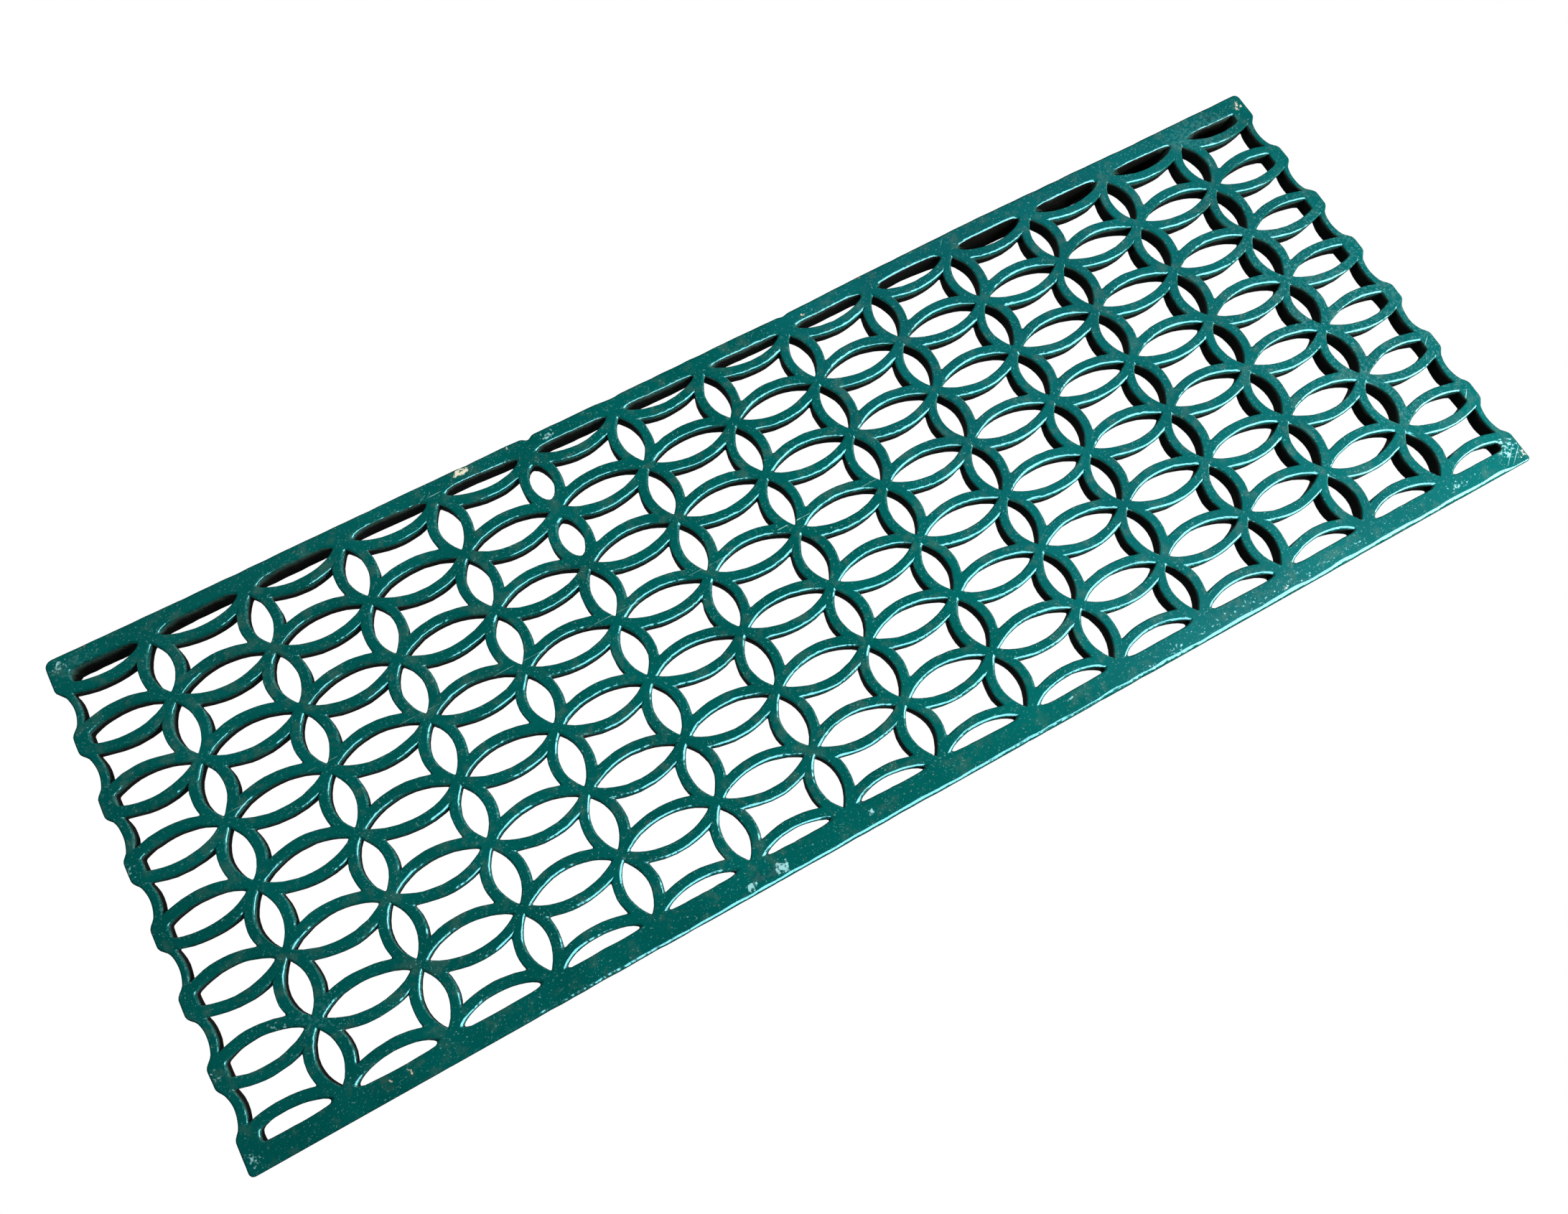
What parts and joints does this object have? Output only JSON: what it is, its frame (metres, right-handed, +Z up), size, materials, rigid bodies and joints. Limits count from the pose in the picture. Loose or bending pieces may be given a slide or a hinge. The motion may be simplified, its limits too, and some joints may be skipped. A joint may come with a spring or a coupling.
{
  "type": "floor grille",
  "caption": "Flat cast iron floor grille: an openwork lattice of interlaced oval rings between two long plain rails, with wavy open ends.",
  "frame": {"origin": "centre of the underside, on the plane that the grille rests on", "axes": "+X along the length, +Y across the width from the wider near rail to the far rail, +Z up through the thickness, out of the show face"},
  "size_m": [0.9144, 0.3304, 0.0127],
  "materials": {
    "painted_cast_iron": "glossy deep teal-green enamel paint over cast iron, with an orange-peel surface, grey scuffs, small beige chips and dirt low on the walls of the openings"
  },
  "bodies": {
    "root": {"floor_grille": "painted_cast_iron"}
  },
  "joints": []
}
